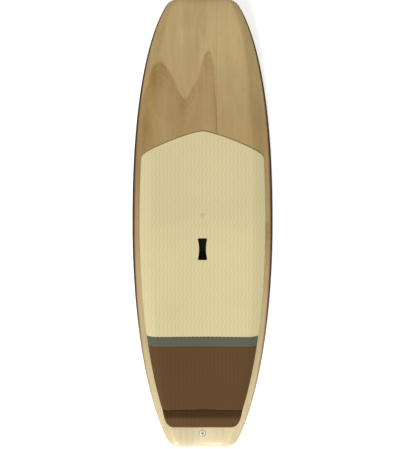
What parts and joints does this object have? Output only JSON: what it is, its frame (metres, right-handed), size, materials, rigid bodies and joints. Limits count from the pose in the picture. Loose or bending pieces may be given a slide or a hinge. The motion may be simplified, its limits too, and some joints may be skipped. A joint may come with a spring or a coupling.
{
  "type": "wooden surfboard",
  "caption": "Wide blunt-nosed surfboard with veneer skins, dark wood rails, a foam deck pad with a rear kick, an inset handle, a vent, a leash plug and slotted fin plugs.",
  "frame": {"origin": "under the middle of the board, at the lowest point of the hull", "axes": "+Y to the nose, +X to the rider's right, +Z out of the deck"},
  "size_m": [0.774, 2.388, 0.1644],
  "materials": {
    "white_foam": "matte",
    "stringer_wood": "matte",
    "block_wood": "satin",
    "deck_veneer": "gloss",
    "hull_veneer": "gloss",
    "rail_veneer": "gloss",
    "pinline_veneer": "gloss",
    "hard_foam": "matte",
    "black_plastic": "satin",
    "grey_plastic": "satin",
    "white_plastic": "gloss",
    "tan_plastic": "satin",
    "vent_metal": "satin",
    "steel": "brushed",
    "black_rubber": "matte",
    "membrane": "matte",
    "cream_pad": "matte",
    "grey_pad": "matte",
    "brown_pad": "matte",
    "black_foam": "matte"
  },
  "bodies": {
    "board": {"core_left": "white_foam", "core_right": "white_foam", "stringer": "stringer_wood", "nose_block": "block_wood", "tail_block": "block_wood", "deck_skin_left": "deck_veneer", "deck_skin_right": "deck_veneer", "bottom_skin_nose": "hull_veneer", "bottom_skin_right": "hull_veneer", "bottom_skin_left_front": "hull_veneer", "bottom_skin_left_rear": "hull_veneer", "rail_left": "rail_veneer", "rail_right": "rail_veneer", "pinline_upper_left": "pinline_veneer", "pinline_upper_right": "pinline_veneer", "pinline_lower_left": "pinline_veneer", "pinline_lower_right": "pinline_veneer", "handle_block": "hard_foam", "handle_cup": "black_plastic", "vent_housing": "grey_plastic", "vent_membrane": "membrane", "leash_block": "hard_foam", "leash_cup": "white_plastic", "leash_bar": "steel", "leash_ring": "tan_plastic", "fin_block_left": "hard_foam", "fin_block_right": "hard_foam", "fin_block_rear": "hard_foam", "fin_plug_1": "grey_plastic", "fin_plug_2": "grey_plastic", "fin_plug_3": "grey_plastic", "fin_plug_4": "grey_plastic", "fin_plug_5": "grey_plastic", "fin_plug_6": "grey_plastic", "fin_plug_7": "grey_plastic", "fin_plug_8": "grey_plastic", "fin_plug_9": "grey_plastic", "fin_plug_10": "grey_plastic", "front_pad": "cream_pad", "band_pad": "grey_pad", "tail_pad": "brown_pad", "kick_wedge": "black_foam", "kick_cover": "brown_pad"},
    "vent_ring": {"vent_o_ring": "black_rubber"},
    "vent_cap": {"vent_screw": "vent_metal"},
    "grub_1": {"grub_screw_1": "steel"},
    "grub_2": {"grub_screw_2": "steel"},
    "grub_3": {"grub_screw_3": "steel"},
    "grub_4": {"grub_screw_4": "steel"},
    "grub_5": {"grub_screw_5": "steel"},
    "grub_6": {"grub_screw_6": "steel"},
    "grub_7": {"grub_screw_7": "steel"},
    "grub_8": {"grub_screw_8": "steel"},
    "grub_9": {"grub_screw_9": "steel"},
    "grub_10": {"grub_screw_10": "steel"}
  },
  "joints": [
    {"name": "vent_lift", "type": "slide", "parent": "board", "child": "vent_ring", "axis": [0, 0.0158, 0.9999], "range_m": [0, 0.003]},
    {"name": "vent_turn", "type": "hinge", "parent": "vent_ring", "child": "vent_cap", "pos_m": [0, 0.047, 0.11341], "axis": [0, 0.0158, 0.9999], "range_deg": [0, 722]},
    {"name": "grub_1_drive", "type": "slide", "parent": "board", "child": "grub_1", "axis": [-0.6419, 0.1085, 0.7591], "range_m": [0, 0.003]},
    {"name": "grub_2_drive", "type": "slide", "parent": "board", "child": "grub_2", "axis": [-0.6419, 0.1142, 0.7582], "range_m": [0, 0.003]},
    {"name": "grub_3_drive", "type": "slide", "parent": "board", "child": "grub_3", "axis": [-0.6419, 0.0415, 0.7657], "range_m": [0, 0.003]},
    {"name": "grub_4_drive", "type": "slide", "parent": "board", "child": "grub_4", "axis": [-0.6419, 0.0472, 0.7653], "range_m": [0, 0.003]},
    {"name": "grub_5_drive", "type": "slide", "parent": "board", "child": "grub_5", "axis": [-0.6428, 0.0947, 0.7602], "range_m": [0, 0.003]},
    {"name": "grub_6_drive", "type": "slide", "parent": "board", "child": "grub_6", "axis": [-0.6428, 0.1002, 0.7595], "range_m": [0, 0.003]},
    {"name": "grub_7_drive", "type": "slide", "parent": "board", "child": "grub_7", "axis": [-0.6428, 0.1055, 0.7587], "range_m": [0, 0.003]},
    {"name": "grub_8_drive", "type": "slide", "parent": "board", "child": "grub_8", "axis": [-0.6428, 0.0947, 0.7602], "range_m": [0, 0.003]},
    {"name": "grub_9_drive", "type": "slide", "parent": "board", "child": "grub_9", "axis": [-0.6428, 0.1002, 0.7595], "range_m": [0, 0.003]},
    {"name": "grub_10_drive", "type": "slide", "parent": "board", "child": "grub_10", "axis": [-0.6428, 0.1055, 0.7587], "range_m": [0, 0.003]}
  ],
  "couplings": [
    {"joint": "vent_turn", "follows": "vent_lift", "rad_per_m": 4188.8}
  ]
}
